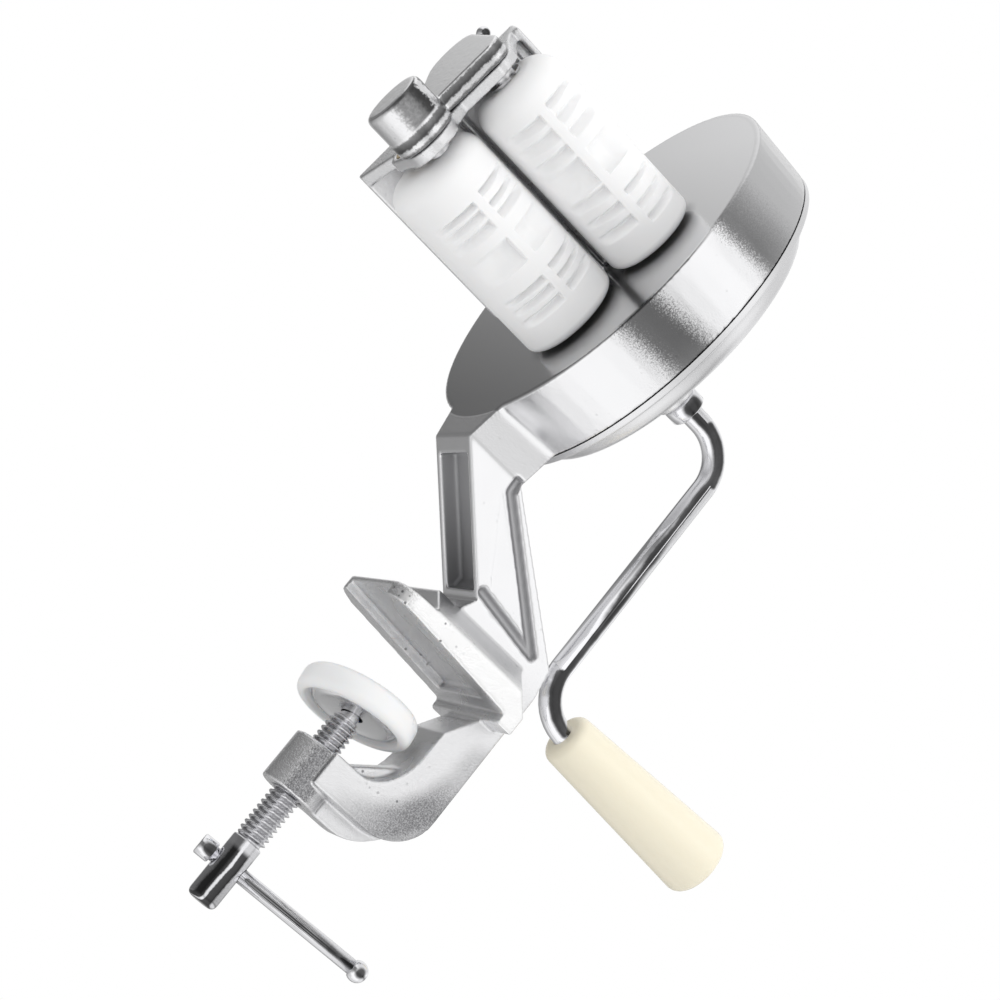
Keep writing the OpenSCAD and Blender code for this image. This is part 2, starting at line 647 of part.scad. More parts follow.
module crank_pinion() {
    color("darkgray") gear(pinion_teeth, drive_m, crank_line, [0, crank_z], drive_gear_y, drive_gear_t, rod_d / 2);
}

// Crank: one rod from the pinion through the cover, two bends, and the grip's pin
arm_y = face_y + crank_reach;
grip_z = crank_z - crank_throw;
grip_recess = 4;
washer_t = 1;
washer_d = 10;
seam = rod_d / 300;      // overlap of the rod's straight runs and its bends
grip_y0 = arm_y + bend_r - gap * 2;
grip_y1 = grip_y0 + grip_l;
pin_end_y = grip_y1 - grip_recess;
module bend(y, z, turn) {
    translate([0, y, z]) rotate([0, 90, 0]) rotate([0, 0, turn])
        rotate_extrude(angle = 90) translate([bend_r, 0]) circle(d = rod_d);
}
module crank_rod() {
    color("lightsteelblue") {
        rod_y(rod_d / 2, drive_gear_y, arm_y - bend_r + seam, 0, crank_z);
        bend(arm_y - bend_r, crank_z - bend_r, 90);
        translate([0, arm_y, grip_z + bend_r - seam]) cylinder(d = rod_d, h = crank_throw - 2 * bend_r + 2 * seam);
        bend(arm_y + bend_r, grip_z + bend_r, 270);
        // The grip's pin with its riveted tip beyond the washer
        turned_y(0, grip_z) polygon([[0, arm_y + bend_r - seam], [rod_d / 2, arm_y + bend_r - seam],
            [rod_d / 2, pin_end_y], [rod_d * 0.36, pin_end_y], [rod_d * 0.36, pin_end_y + washer_t],
            [rod_d / 2, pin_end_y + washer_t], [rod_d * 0.4, pin_end_y + washer_t + rod_d / 6],
            [0, pin_end_y + washer_t + rod_d / 4]]);
    }
}

// Collar that keeps the crank against the cover's boss
collar_y0 = boss_end_y + gap;
crank_collar_l = 4.6;
module crank_collar() {
    edge = crank_collar_l / 8;
    r = crank_collar_d / 2;
    color("silver") difference() {
        turned_y(0, crank_z) polygon([[0, collar_y0], [r - edge, collar_y0], [r, collar_y0 + edge],
            [r, collar_y0 + crank_collar_l - edge], [r - edge, collar_y0 + crank_collar_l],
            [0, collar_y0 + crank_collar_l]]);
        rod_y(rod_d / 2, collar_y0 - over, collar_y0 + crank_collar_l + over, 0, crank_z);
    }
}

// Tapered grip that turns on the crank's pin
module handle_grip() {
    r1 = grip_d1 / 2;
    r2 = grip_d2 / 2;
    e = grip_edge_r;
    color("ivory") difference() {
        turned_y(0, grip_z) polygon(concat([[0, grip_y0]],
            arc([r1 - e, grip_y0 + e], e, e, -90, 0, 5),
            arc([r2 - e, grip_y1 - e], e, e, 0, 90, 5), [[0, grip_y1]]));
        rod_y(rod_d / 2 + fit, grip_y0 - over, grip_y1 + over, 0, grip_z);
        rod_y(washer_d / 2 + gap, pin_end_y - gap, grip_y1 + over, 0, grip_z);
    }
}
module grip_washer() {
    color("silver") difference() {
        rod_y(washer_d / 2, pin_end_y, pin_end_y + washer_t, 0, grip_z);
        rod_y(rod_d * 0.36, pin_end_y - over, pin_end_y + washer_t + over, 0, grip_z);
    }
}

// Swinging latch over the rollers' front bearings
latch_y1 = wall_y - gap / 3;
latch_y0 = latch_y1 - latch_t;
boss_y0 = latch_y1 - latch_boss_l;
latch_tip_r = latch_boss_d * 0.49;
latch_tip = [plate_u - latch_boss_d / 4, high_w - 4.2 * bush_wall];
latch_corner_r = bush_r + bush_wall / 2;
module roller_latch() {
    boss_r = latch_boss_d / 2;
    round = 1.4;
    color("silver") difference() {
        union() {
            bracket_turn() along_y(latch_y0, latch_y1) hull() {
                translate(latch_tip) circle(r = latch_tip_r, $fn = 32);
                translate([latch_u - 1.4 * latch_corner_r, high_w + bush_wall / 2])
                    circle(r = latch_corner_r, $fn = 32);
                translate([latch_u - 1.4 * bush_r - bush_wall / 2, -latch_w + bush_r]) circle(r = bush_r, $fn = 32);
            }
            turned_y(pivot[0], pivot[1]) polygon(concat([[0, boss_y0]],
                arc([boss_r - round, boss_y0 + round], round, round, -90, 0, 5),
                [[boss_r, latch_y1], [0, latch_y1]]));
        }
        rod_y(latch_screw_d / 2 + fit, latch_y1 - latch_bore_l, latch_y1 + over, pivot[0], pivot[1]);
        rod_y(latch_screw_d, latch_y1 - latch_bore_l, latch_y1 - latch_bore_l + latch_head_l, pivot[0], pivot[1]);
        finger_shank(over);
    }
}
// Shouldered screw that the latch turns on, with its nut behind the end wall
latch_bore_l = 9;
latch_head_l = 3;
nut_l = 1.7;
module latch_screw() {
    head_y = latch_y1 - latch_bore_l + gap;
    color("gray") {
        rod_y(latch_screw_d / 2, head_y, wall_y + end_wall_t + nut_l, pivot[0], pivot[1]);
        rod_y(latch_screw_d - gap, head_y, head_y + latch_head_l - 2 * gap, pivot[0], pivot[1]);
    }
}
module latch_nut() {
    color("gray") difference() {
        rod_y(latch_screw_d * 0.68, wall_y + end_wall_t, wall_y + end_wall_t + nut_l - gap, pivot[0], pivot[1]);
        rod_y(latch_screw_d / 2, wall_y - over, wall_y + end_wall_t + nut_l + over, pivot[0], pivot[1]);
    }
}
// Ball ended pin in the latch's edge, by which it is lifted
finger_pin_r = finger_ball_d / 3;
finger_w = latch_tip[1] + latch_tip_r;
module finger_shank(extra) {
    bracket_turn() translate([latch_tip[0], latch_y0 + latch_t * 0.4, finger_w - latch_tip_r / 2])
        cylinder(r = finger_pin_r, h = latch_tip_r / 2 + extra);
}
module latch_finger_pin() {
    color("silver") {
        finger_shank(finger_ball_d / 3);
        bracket_turn() translate([latch_tip[0], latch_y0 + latch_t * 0.4, finger_w + finger_ball_d / 2])
            sphere(d = finger_ball_d);
    }
}

// Clamp screw: neck and rivet head in the pad, thread as a row of rings, plain head
pad_z1 = -pad_gap;
cap_t = 2;
cup_t = 1;
lean_gap = 0.9;
rivet_z = pad_z1 - cap_t - lean_gap;
rivet_h = 1.2;
rivet_d = screw_d * 0.9;
neck_d = screw_d * 0.6;
neck_z0 = rivet_z - rivet_h - cup_t - 2.2 * lean_gap;
thread_z1 = neck_z0 - gap;
thread_z0 = thread_z1 - thread_l;
head_z0 = thread_z0 - head_l;
hole_z = head_z0 + head_l * 0.6;
thread_turns = floor(thread_l / screw_pitch);
// One ring of the thread, as shares of the pitch and of the thread's depth
thread_shares = [[0.12, 0], [0.44, 1], [0.56, 1], [0.88, 0]];
module clamp_screw() {
    r = screw_d / 2;
    core = r - thread_depth;
    round = 2.2;
    color("lightsteelblue") difference() {
        rotate_extrude() polygon(concat(
            [[0, head_z0]], arc([r - round, head_z0 + round], round, round, -90, 0, 5),
            [[r, thread_z0], [core, thread_z0 + gap]],
            [for (k = [0:thread_turns - 1]) for (p = thread_shares)
                [core + p[1] * thread_depth, thread_z0 + gap + (k + p[0]) * (thread_l - gap) / thread_turns]],
            [[core, thread_z1], [neck_d / 2, thread_z1], [neck_d / 2, rivet_z - rivet_h],
                [rivet_d / 2, rivet_z - rivet_h], [rivet_d / 2, rivet_z - rivet_h / 2], [neck_d / 2, rivet_z],
                [0, rivet_z]]));
        translate([0, 0, hole_z]) rotate([0, 0, -bar_turn]) rod_y(bar_d / 2 + fit, -screw_d, screw_d);
    }
}

// Sliding bar through the head, pushed fully to one side, and its two knobs
bar_y0 = -screw_d / 2 - 2.2 * gap;
module on_bar() {
    translate([0, 0, hole_z]) rotate([0, 0, -bar_turn]) children();
}
stub = 1.5;
module tommy_bar() {
    color("silver") on_bar() {
        rod_y(bar_d / 2, bar_y0, bar_y0 + bar_l);
        for (y = [bar_y0 - stub, bar_y0 + bar_l]) rod_y(bar_d / 4, y, y + stub);
    }
}
module tommy_bar_knobs() {
    knob_r = knob_d / 2;
    short_l = knob_d * 0.75;
    color("silver") on_bar() {
        // Flat ended knob beside the head
        difference() {
            turned_y(0, 0) polygon([[0, bar_y0 - short_l], [knob_r - gap, bar_y0 - short_l],
                [knob_r, bar_y0 - short_l + gap], [knob_r, bar_y0 - gap], [knob_r - gap, bar_y0], [0, bar_y0]]);
            rod_y(bar_d / 4, bar_y0 - stub, bar_y0 + over);
        }
        // Ball at the far end
        difference() {
            turned_y(0, 0) polygon(concat([[0, bar_y0 + bar_l]],
                arc([0, bar_y0 + bar_l + knob_r * 0.6], knob_r, knob_r, -36, 90, 8)));
            rod_y(bar_d / 4, bar_y0 + bar_l - over, bar_y0 + bar_l + stub);
        }
    }
}

// Pad: a pressed cup riveted loosely to the screw, in a plastic cap
tilt_z = rivet_z - rivet_h;
tilt_axis = [0.43, -0.9, 0];
module leaning() {
    translate([0, 0, tilt_z]) rotate(a = pad_tilt, v = tilt_axis) translate([0, 0, -tilt_z]) children();
}
cup_top = tilt_z - lean_gap;
cap_top = tilt_z + rivet_h + lean_gap + cap_t;
cap_low = cap_top - pad_h;
rim_rise = pad_h * 0.26;
cup_low = cap_low + rim_rise;
hole_extra = 0.6;
// Outline of the cup's outer side from its rim up to the flat middle
cup_r = cup_d / 2;
cup_side = [[cup_r, cup_low], [cup_r - cup_t / 4, (cup_low + cup_top) / 2],
    [cup_r * 0.86, cup_top - cup_t / 3], [cup_r * 0.6, cup_top]];
module pad_cup() {
    hole_r = neck_d / 2 + hole_extra;
    color("silver") leaning() rotate_extrude() polygon(concat([[hole_r, cup_top - cup_t]],
        [[cup_r * 0.58, cup_top - cup_t], [cup_r * 0.8, cup_top - 1.4 * cup_t], [cup_r - cup_t * 1.3,
            (cup_low + cup_top) / 2 - cup_t / 2], [cup_r - cup_t, cup_low]], cup_side, [[hole_r, cup_top]]));
}
module pad_cap() {
    r = pad_d / 2;
    e = pad_h * 0.32;
    floor_z = cap_top - cap_t;
    color("white") leaning() rotate_extrude() polygon(concat(
        [[0, cap_top]], arc([r - e, cap_top - e], e, e, 90, 0, 5),
        arc([r - e, cap_low + e], e, e, 0, -90, 5),
        [[cup_r + gap, cap_low + gap]], cup_side, [[cup_r * 0.6, floor_z], [0, floor_z]]));
}

frame_casting();
rear_cover();
cover_screws();
lower_front_bush();
upper_front_bush();
lower_drum_bush();
upper_drum_bush();
upper_rear_bush();
crank_bush();
lower_roller();
upper_roller();
lower_roller_shaft();
upper_roller_shaft();
lower_roller_gear();
upper_roller_gear();
drive_gear();
lower_shaft_clip();
upper_shaft_clip();
crank_pinion();
crank_rod();
crank_collar();
handle_grip();
grip_washer();
roller_latch();
latch_screw();
latch_nut();
latch_finger_pin();
clamp_screw();
tommy_bar();
tommy_bar_knobs();
pad_cup();
pad_cap();
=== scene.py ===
import json
import math
import bmesh
import bpy
import numpy as np
from mathutils import Matrix, Vector

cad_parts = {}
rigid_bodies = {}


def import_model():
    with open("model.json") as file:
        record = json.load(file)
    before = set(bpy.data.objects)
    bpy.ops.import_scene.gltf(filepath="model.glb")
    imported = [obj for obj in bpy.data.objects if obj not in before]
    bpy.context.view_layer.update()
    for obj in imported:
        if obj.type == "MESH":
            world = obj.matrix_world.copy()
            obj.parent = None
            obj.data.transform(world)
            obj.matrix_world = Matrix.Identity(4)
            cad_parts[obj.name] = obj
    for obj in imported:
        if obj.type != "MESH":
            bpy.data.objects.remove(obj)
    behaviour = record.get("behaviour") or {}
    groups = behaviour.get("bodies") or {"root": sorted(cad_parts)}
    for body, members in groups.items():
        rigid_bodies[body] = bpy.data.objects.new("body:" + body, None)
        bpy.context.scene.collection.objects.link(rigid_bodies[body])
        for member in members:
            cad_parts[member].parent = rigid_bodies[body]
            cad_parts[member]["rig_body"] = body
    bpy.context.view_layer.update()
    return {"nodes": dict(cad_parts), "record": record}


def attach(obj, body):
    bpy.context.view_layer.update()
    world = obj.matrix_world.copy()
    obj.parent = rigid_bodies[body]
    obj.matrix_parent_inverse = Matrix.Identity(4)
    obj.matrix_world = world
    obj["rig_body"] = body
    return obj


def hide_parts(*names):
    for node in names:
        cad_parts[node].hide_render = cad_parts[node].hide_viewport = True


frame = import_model()
scene = bpy.context.scene

# Sizes in this script are millimetres unless a comment says otherwise, and this turns them into metres
MM = 0.001
# X goes to the camera's side, Y from the rollers to the crank, and Z up the clamp screw
DRUM_Z = 103.0
FACE_Y = -25.5
CRANK_Z = 93.0
# The arm's sloping front runs from the drum's face at this height to its foot, in Y and Z
NECK_Z = 44.0
ARM_FOOT = (2.6, 16.0)
ARM_SLOPE = math.hypot(ARM_FOOT[0] - FACE_Y, NECK_Z - ARM_FOOT[1])
# Sides of the arm, and the grooves that part its web from the flange, in Y and Z
WEB_X = 10.3
GROOVE_X = 10.35
GROOVE_R = 1.25
GROOVE_DEPTH = 1.5
GROOVE_LINE = [(-8.4, 46.0), (-8.0, 41.2), (22.7, 15.4), (2.6, 18.4)]
# The web's outline behind the front pocket: by way down the slope and depth, then in Y and Z
WEB_SLOPE = [(10, 4.7), (35.5, 4.6), (36.7, 3.2), (38.6, 1.6)]
WEB_REST = [(3.2, 15.4), (23.6, 15.3), (-8.0, 41.2)]
# Where the neck's flank meets the drum's side, in X and Z, and the drum's rear rim in Y
NECK_ROOT = (16.8, 57.4)
REAR_RIM_Y = (-7.15, -6.0)
REAR_RIM_FLAT_Y = -6.93
# Grid on which the cast pieces are meshed again
CASTING_GRID = 0.45
LATCH_GRID = 0.3
# Outer edge of the clamp's bow, in Y and Z
BOW_LINE = [(30.5, -14), (30.2, -20), (28, -28.5), (23, -36), (17, -41), (10, -43.6), (0, -44)]
# Rollers: front end, length, rounding of both ends, half width of the spine, depths of the cuts
ROLLER_Y0 = -78.8
ROLLER_L = 52.4
ROLLER_FRONT_R = 5.6
ROLLER_BACK_R = 2.4
SPINE_HALF_W = 1.3
RIB_CUT = 2.3
BOWL_CUT = 2.6
# Clamp screw: thread radius, depth and pitch, then heights along the screw
THREAD_R = 3.95
THREAD_DEPTH = 0.92
PITCH = 1.5
HEAD_Z0 = -79.58
THREAD_Z0 = -61.98
THREAD_Z1 = -24.78
CROSS_HOLE_Z = -69.02
CROSS_HOLE_R = 1.96
CROSS_HOLE_TURN = 17.8

# Tables of the studio: angle round Y from +X towards +Z in degrees, then brightness
STUDIO_SIDE = [
    (-180, 0.75), (-171, 0.50), (-168, 0.14), (-164, 0.34), (-140, 0.45), (-114, 0.88), (-104, 0.66),
    (-94, 0.98), (-72, 1.15), (-42, 1.12), (-28, 0.75), (-18, 0.70), (-6, 0.80), (0, 1.0), (7, 1.12),
    (30, 1.18), (40, 1.0), (46, 0.80), (60, 0.75), (66, 0.75), (74, 0.80), (112, 0.80), (132, 1.0),
    (150, 0.75), (180, 0.75)]
# Height of the direction from 0 below to 1 above, then brightness, in front and behind
STUDIO_FRONT = [
    (0.0, 0.75), (0.30, 0.42), (0.42, 0.22), (0.50, 0.22), (0.58, 0.21), (0.635, 0.16),
    (0.665, 0.27), (0.70, 0.58), (0.75, 0.85), (0.82, 1.0), (1.0, 1.05)]
STUDIO_BEHIND = [(0.0, 0.8), (0.35, 0.9), (0.47, 0.25), (0.53, 0.6), (0.62, 1.1), (0.8, 0.7), (1.0, 1.0)]

# Painted reflection bands on the drum's side: shade by angle about its axis in degrees
DRUM_REFLECTION_BANDS = [
    (-180, 1.0), (-29, 1.0), (-25, 0.24), (-16.5, 0.20), (-12.5, 1.0), (8.5, 1.0),
    (12, 0.26), (18, 0.36), (29, 0.68), (60, 0.75), (180, 0.85)]
# Colours that the metals are mixed from
WHITE = (1.0, 1.0, 1.0)
CAST = (0.83, 0.83, 0.84)
CAST_HIGHLIGHT = (0.99, 0.99, 0.99)
CAST_PIT = (0.16, 0.16, 0.17)
CAST_CREVICE_SHADE = (0.22, 0.22, 0.23)
CAST_GROOVE_SHADE = (0.44, 0.44, 0.45)
POCKET_PAINTED_SHADES = (0.24, 0.24, 0.25), (0.50, 0.50, 0.51)
SPECK_SHADES = (0.05, 0.05, 0.055), (0.40, 0.40, 0.41)
SAND_SHADES = (0.10, 0.10, 0.11), (0.62, 0.62, 0.63)
METAL_PIT = (0.12, 0.12, 0.13)
# Painted shade of the drum's face by height, six times the metres
FACE_PAINTED_SHADE = [(0.34, 0.62), (0.50, 0.74), (0.66, 0.94), (0.85, 1.08)]
# Painted reflection bands by how a surface is turned: axis of the normal, then its value and the shade
LATCH_REFLECTION_BANDS = (2, [
    (-1, 0.9), (-0.62, 1.0), (-0.42, 0.5), (-0.1, 0.28), (0.2, 0.10),
    (0.44, 0.07), (0.54, 1.0), (0.70, 1.0), (0.82, 0.15), (1, 0.1)])
ROD_REFLECTION_BANDS = (0, [(-1, 1.0), (0.78, 1.0), (0.90, 0.12), (1, 0.06)])
SCREW_REFLECTION_BANDS = (1, [
    (-1, 0.75), (-0.88, 0.6), (-0.78, 0.10), (-0.40, 0.07), (-0.32, 1.0), (-0.22, 1.0), (-0.16, 0.09),
    (0.30, 0.06), (0.42, 1.0), (0.72, 1.0), (0.86, 0.2), (1, 0.5)])
# Painted reflection bands across the latch plate's edge from its front to its back
LATCH_EDGE_REFLECTION = [
    (0.0, 1.0), (0.08, 1.0), (0.16, 0.30), (0.50, 0.10), (0.60, 0.9), (0.74, 1.0), (0.86, 0.25), (1.0, 0.5)]
# Front face of the latch's plate, and one over its thickness in metres
LATCH_FRONT_Y = -88.8
LATCH_PER_METRE = 212

# Camera at the photograph's place, in metres
cam_data = bpy.data.cameras.new("camera")
cam_data.lens = 84.84
cam_data.sensor_width = 36
cam_data.clip_start = 0.01
cam = bpy.data.objects.new("camera", cam_data)
scene.collection.objects.link(cam)
right = Vector((0.42030, 0.67203, 0.60969))
up = Vector((-0.01501, -0.66668, 0.74520))
back = Vector((0.90726, -0.32236, -0.27012))
cam.matrix_world = Matrix.Translation((0.52487, -0.19181, -0.11538)) @ Matrix(
    ((right[0], up[0], back[0]), (right[1], up[1], back[1]), (right[2], up[2], back[2]))).to_4x4()
scene.camera = cam
scene.view_settings.view_transform = "Standard"


# Node helpers

def tree(name):
    mat = bpy.data.materials.new(name)
    mat.use_nodes = True
    nt = mat.node_tree
    return mat, nt, nt.nodes["Principled BSDF"]


def put(nt, socket, value):
    # Links a socket or sets a constant, with full opacity for a colour of three
    if isinstance(value, bpy.types.NodeSocket):
        nt.links.new(value, socket)
        return
    if isinstance(value, tuple) and len(value) == 3 and socket.type == "RGBA":
        value = (*value, 1)
    socket.default_value = value


def node(nt, kind, links=None, **props):
    # Makes a node with these properties and fills its inputs
    n = nt.nodes.new("ShaderNode" + kind)
    for k, v in props.items():
        setattr(n, k, v)
    for key, value in (links or {}).items():
        put(nt, n.inputs[key], value)
    return n


def math_node(nt, op, *values):
    return node(nt, "Math", dict(enumerate(values)), operation=op).outputs[0]


def times(nt, first, *others):
    # Product of all the values
    for value in others:
        first = math_node(nt, "MULTIPLY", first, value)
    return first


def linear(nt, value, factor, offset):
    # The value times the factor, plus the offset
    return math_node(nt, "MULTIPLY_ADD", value, factor, offset)


def smooth(nt, value, low, high):
    # Soft step from 0 at low to 1 at high, which may be the smaller one
    links = {"Value": value, "From Min": low, "From Max": high}
    return node(nt, "MapRange", links, interpolation_type="SMOOTHSTEP").outputs[0]


def rise(nt, value, low, high):
    # The same for a coordinate in metres, with its ends in millimetres
    return smooth(nt, value, low * MM, high * MM)


def ramp(nt, fac, stops):
    # Grey level from a list of places and levels
    n = node(nt, "ValToRGB", {0: fac})
    els = n.color_ramp.elements
    els[0].position, els[1].position = stops[0][0], stops[-1][0]
    for p, _ in stops[1:-1]:
        els.new(p)
    for el, (_, level) in zip(els, stops):
        el.color = (level, level, level, 1)
    return n.outputs[0]


def mix(nt, fac, a, b, blend="MIX"):
    links = {"Factor": fac, "A": a, "B": b}
    return node(nt, "Mix", links, data_type="RGBA", blend_type=blend).outputs["Result"]


def point(nt):
    return node(nt, "TexCoord").outputs["Object"]


def coords(nt):
    return node(nt, "SeparateXYZ", {0: point(nt)}).outputs


def noise(nt, scale, detail=3, rough=0.5, vector=None):
    links = {"Scale": scale, "Detail": detail, "Roughness": rough, "Vector": vector or point(nt)}
    return node(nt, "TexNoise", links).outputs["Fac"]


def jitter(nt, value, amount, *args):
    # Adds noise of this amount from end to end
    return linear(nt, math_node(nt, "SUBTRACT", noise(nt, *args), 0.5), amount, value)


def bump(nt, height, strength, distance, normal=None):
    # Distance in metres
    n = node(nt, "Bump", {"Strength": strength, "Distance": distance, "Height": height})
    if normal:
        put(nt, n.inputs["Normal"], normal)
    return n.outputs[0]


def facing(nt, toward, low, high, rag=0.0):
    # 1 where a surface faces a fixed direction of the object, with a ragged edge
    links = {0: node(nt, "TexCoord").outputs["Normal"], 1: Vector(toward).normalized()}
    dot = node(nt, "VectorMath", links, operation="DOT_PRODUCT").outputs["Value"]
    if rag:
        dot = jitter(nt, dot, rag, 1500, 3, 0.7)
    return smooth(nt, dot, low, high)


# Studio: how bright each direction is in a reflection

def studio_group():
    g = bpy.data.node_groups.new("studio", "ShaderNodeTree")
    g.interface.new_socket("Direction", in_out="INPUT", socket_type="NodeSocketVector")
    g.interface.new_socket("Level", in_out="OUTPUT", socket_type="NodeSocketFloat")
    gin = g.nodes.new("NodeGroupInput")
    gout = g.nodes.new("NodeGroupOutput")
    d = node(g, "VectorMath", {0: gin.outputs[0]}, operation="NORMALIZE").outputs[0]
    x, y, z = node(g, "SeparateXYZ", {0: d}).outputs
    turn = linear(g, math_node(g, "ARCTAN2", z, x), 1 / (2 * math.pi), 0.5)
    side = ramp(g, turn, [((a + 180) / 360, v) for a, v in STUDIO_SIDE])
    height = linear(g, z, 0.5, 0.5)
    west = times(g, smooth(g, y, -0.02, -0.2), smooth(g, x, 0.25, -0.1))
    south = math_node(g, "MAXIMUM", west, smooth(g, y, -0.45, -0.8))
    level = mix(g, south, side, ramp(g, height, STUDIO_FRONT))
    level = mix(g, smooth(g, y, 0.6, 0.85), level, ramp(g, height, STUDIO_BEHIND))
    put(g, gout.inputs[0], level)
    return g


studio = studio_group()


def studio_level(nt, direction):
    n = nt.nodes.new("ShaderNodeGroup")
    n.node_tree = studio
    put(nt, n.inputs[0], direction)
    return n.outputs[0]


def seen_directly(nt, path):
    # 1 for what the camera sees without a mirror
    return math_node(nt, "MAXIMUM", path.outputs["Is Camera Ray"], path.outputs["Is Transmission Ray"])


# World: an even light, the studio in reflections, and white where the camera sees it
world = bpy.data.worlds.new("world")
scene.world = world
world.use_nodes = True
wt = world.node_tree
bg = wt.nodes["Background"]
path = node(wt, "LightPath")
direction = node(wt, "TexCoord").outputs["Generated"]
wx, wy, wz = node(wt, "SeparateXYZ", {0: direction}).outputs
plain = linear(wt, wx, 0.16, 0.78)
plain = linear(wt, wy, 0.08, plain)
plain = linear(wt, wz, 0.04, plain)
level = mix(wt, path.outputs["Is Glossy Ray"], plain, studio_level(wt, direction))
level = mix(wt, seen_directly(wt, path), level, WHITE)
put(wt, bg.inputs["Color"], level)
bg.inputs["Strength"].default_value = 1.0

# Floor in metres, far below, white to the camera and with the studio's bands in reflections
FLOOR_R = 6.0
FLOOR_Z = -0.56
bm = bmesh.new()
bmesh.ops.create_circle(bm, cap_ends=True, radius=FLOOR_R, segments=96)
floor_mesh = bpy.data.meshes.new("floor")
bm.to_mesh(floor_mesh)
bm.free()
floor = bpy.data.objects.new("floor", floor_mesh)
floor.location = (0, 0.02, FLOOR_Z)
scene.collection.objects.link(floor)
fmat, ft, fb = tree("floor")
fb.inputs["Base Color"].default_value = (0.9, 0.9, 0.9, 1)
fb.inputs["Roughness"].default_value = 0.9
fb.inputs["Specular IOR Level"].default_value = 0.0
fpath = node(ft, "LightPath")
place = node(ft, "NewGeometry").outputs["Position"]
away = node(ft, "VectorMath", {0: place}, operation="LENGTH").outputs["Value"]
far = smooth(ft, away, 0.6, 1.0)
in_mirror = fpath.outputs["Is Glossy Ray"]
glow = node(ft, "Emission", {"Color": mix(ft, in_mirror, WHITE, studio_level(ft, place))})
fac = math_node(ft, "MAXIMUM", in_mirror, times(ft, seen_directly(ft, fpath), far))
blend = node(ft, "MixShader", {0: fac, 1: fb.outputs[0], 2: glow.outputs[0]})
ft.links.new(blend.outputs[0], ft.nodes["Material Output"].inputs["Surface"])
floor.data.materials.append(fmat)


# Soft lamps, in metres and watts

def lamp(name, at, aim, size, power):
    data = bpy.data.lights.new(name, "AREA")
    data.shape = "DISK"
    data.size = size
    data.energy = power
    o = bpy.data.objects.new(name, data)
    scene.collection.objects.link(o)
    o.location = at
    o.rotation_euler = (Vector(aim) - Vector(at)).to_track_quat("-Z", "Y").to_euler()
    o.visible_glossy = False


centre = (0, 0, 0.04)
lamp("key", (0.85, 0.65, 0.75), centre, 0.6, 4.0)
lamp("fill", (0.8, -1.1, 0.55), centre, 0.9, 1.6)
lamp("top", (-0.4, 0.1, 1.3), centre, 0.9, 2.0)


# Materials

def painted_reflection_by_normal(nt, bands, rag):
    # Painted reflection: dark and light bands by how the surface is turned, with fine and wide raggedness
    axis, stops = bands
    n = node(nt, "SeparateXYZ", {0: node(nt, "TexCoord").outputs["Normal"]}).outputs[axis]
    n = jitter(nt, jitter(nt, n, rag, 1100, 3, 0.7), 0.3, 90, 2, 0.5)
    return ramp(nt, linear(nt, n, 0.5, 0.5), [((v + 1) / 2, level) for v, level in stops])


def off_front(nt):
    # 1 on everything but the latch's flat faces
    return facing(nt, (0, -1, 0), 0.94, 0.80)


def latch_painted_reflection(nt):
    # Painted reflection bands: along the plate's edge they follow the edge, and the flat faces have none
    y = coords(nt)[1]
    across = math_node(nt, "ADD", jitter(nt, y, 0.0016, 900, 4, 0.8), -LATCH_FRONT_Y * MM)
    edge = ramp(nt, times(nt, across, LATCH_PER_METRE), LATCH_EDGE_REFLECTION)
    shade = mix(nt, rise(nt, y, -89.2, -88.6), painted_reflection_by_normal(nt, LATCH_REFLECTION_BANDS, 0.5), edge)
    return mix(nt, off_front(nt), WHITE, shade)


def rod_painted_reflection(nt):
    # Painted reflection: a dark band on the side of the rod that faces +X
    return painted_reflection_by_normal(nt, ROD_REFLECTION_BANDS, 0.05)


def screw_painted_reflection(nt):
    # The painted reflection bands are strong on the head and weak on the thread above it
    shade = painted_reflection_by_normal(nt, SCREW_REFLECTION_BANDS, 0.12)
    weak = mix(nt, 0.72, shade, WHITE)
    return mix(nt, rise(nt, coords(nt)[2], -65.5, -64.0), shade, weak)


def metal(name, color, rough, grain, grain_scale, streak=0.0, pits=0.0, shade=None, edge_rough=None):
    mat, nt, b = tree(name)
    b.inputs["Metallic"].default_value = 1.0
    b.inputs["Base Color"].default_value = (*color, 1)
    soft = linear(nt, noise(nt, 60, 2), rough * 0.5, rough * 0.75)
    if edge_rough:
        soft = mix(nt, off_front(nt), soft, (edge_rough,) * 3)
    put(nt, b.inputs["Roughness"], soft)
    normal = bump(nt, noise(nt, grain_scale, 3, 0.6), grain, 0.0002)
    if streak:
        along = node(nt, "Mapping", {"Vector": point(nt), "Scale": (900, 30, 900)}).outputs[0]
        normal = bump(nt, noise(nt, 1, 2, 0.5, along), streak, 0.0002, normal)
    put(nt, b.inputs["Normal"], normal)
    if pits:
        v = node(nt, "TexVoronoi", {"Scale": 420.0, "Vector": point(nt)})
        some = smooth(nt, noise(nt, 80, 2), 0.5, 0.62)
        hole = times(nt, smooth(nt, v.outputs["Distance"], 0.10, 0.04), some)
        base = mix(nt, times(nt, hole, pits), color, METAL_PIT)
        # Painted reflection bands multiply the colour
        put(nt, b.inputs["Base Color"], mix(nt, 1.0, base, shade(nt), "MULTIPLY"))
    return mat


def radius(nt, a, b):
    return math_node(nt, "SQRT", math_node(nt, "ADD", times(nt, a, a), times(nt, b, b)))


def mark(nt, name):
    # Mask that the sculpting left on the mesh
    return node(nt, "Attribute", attribute_name=name).outputs["Fac"]


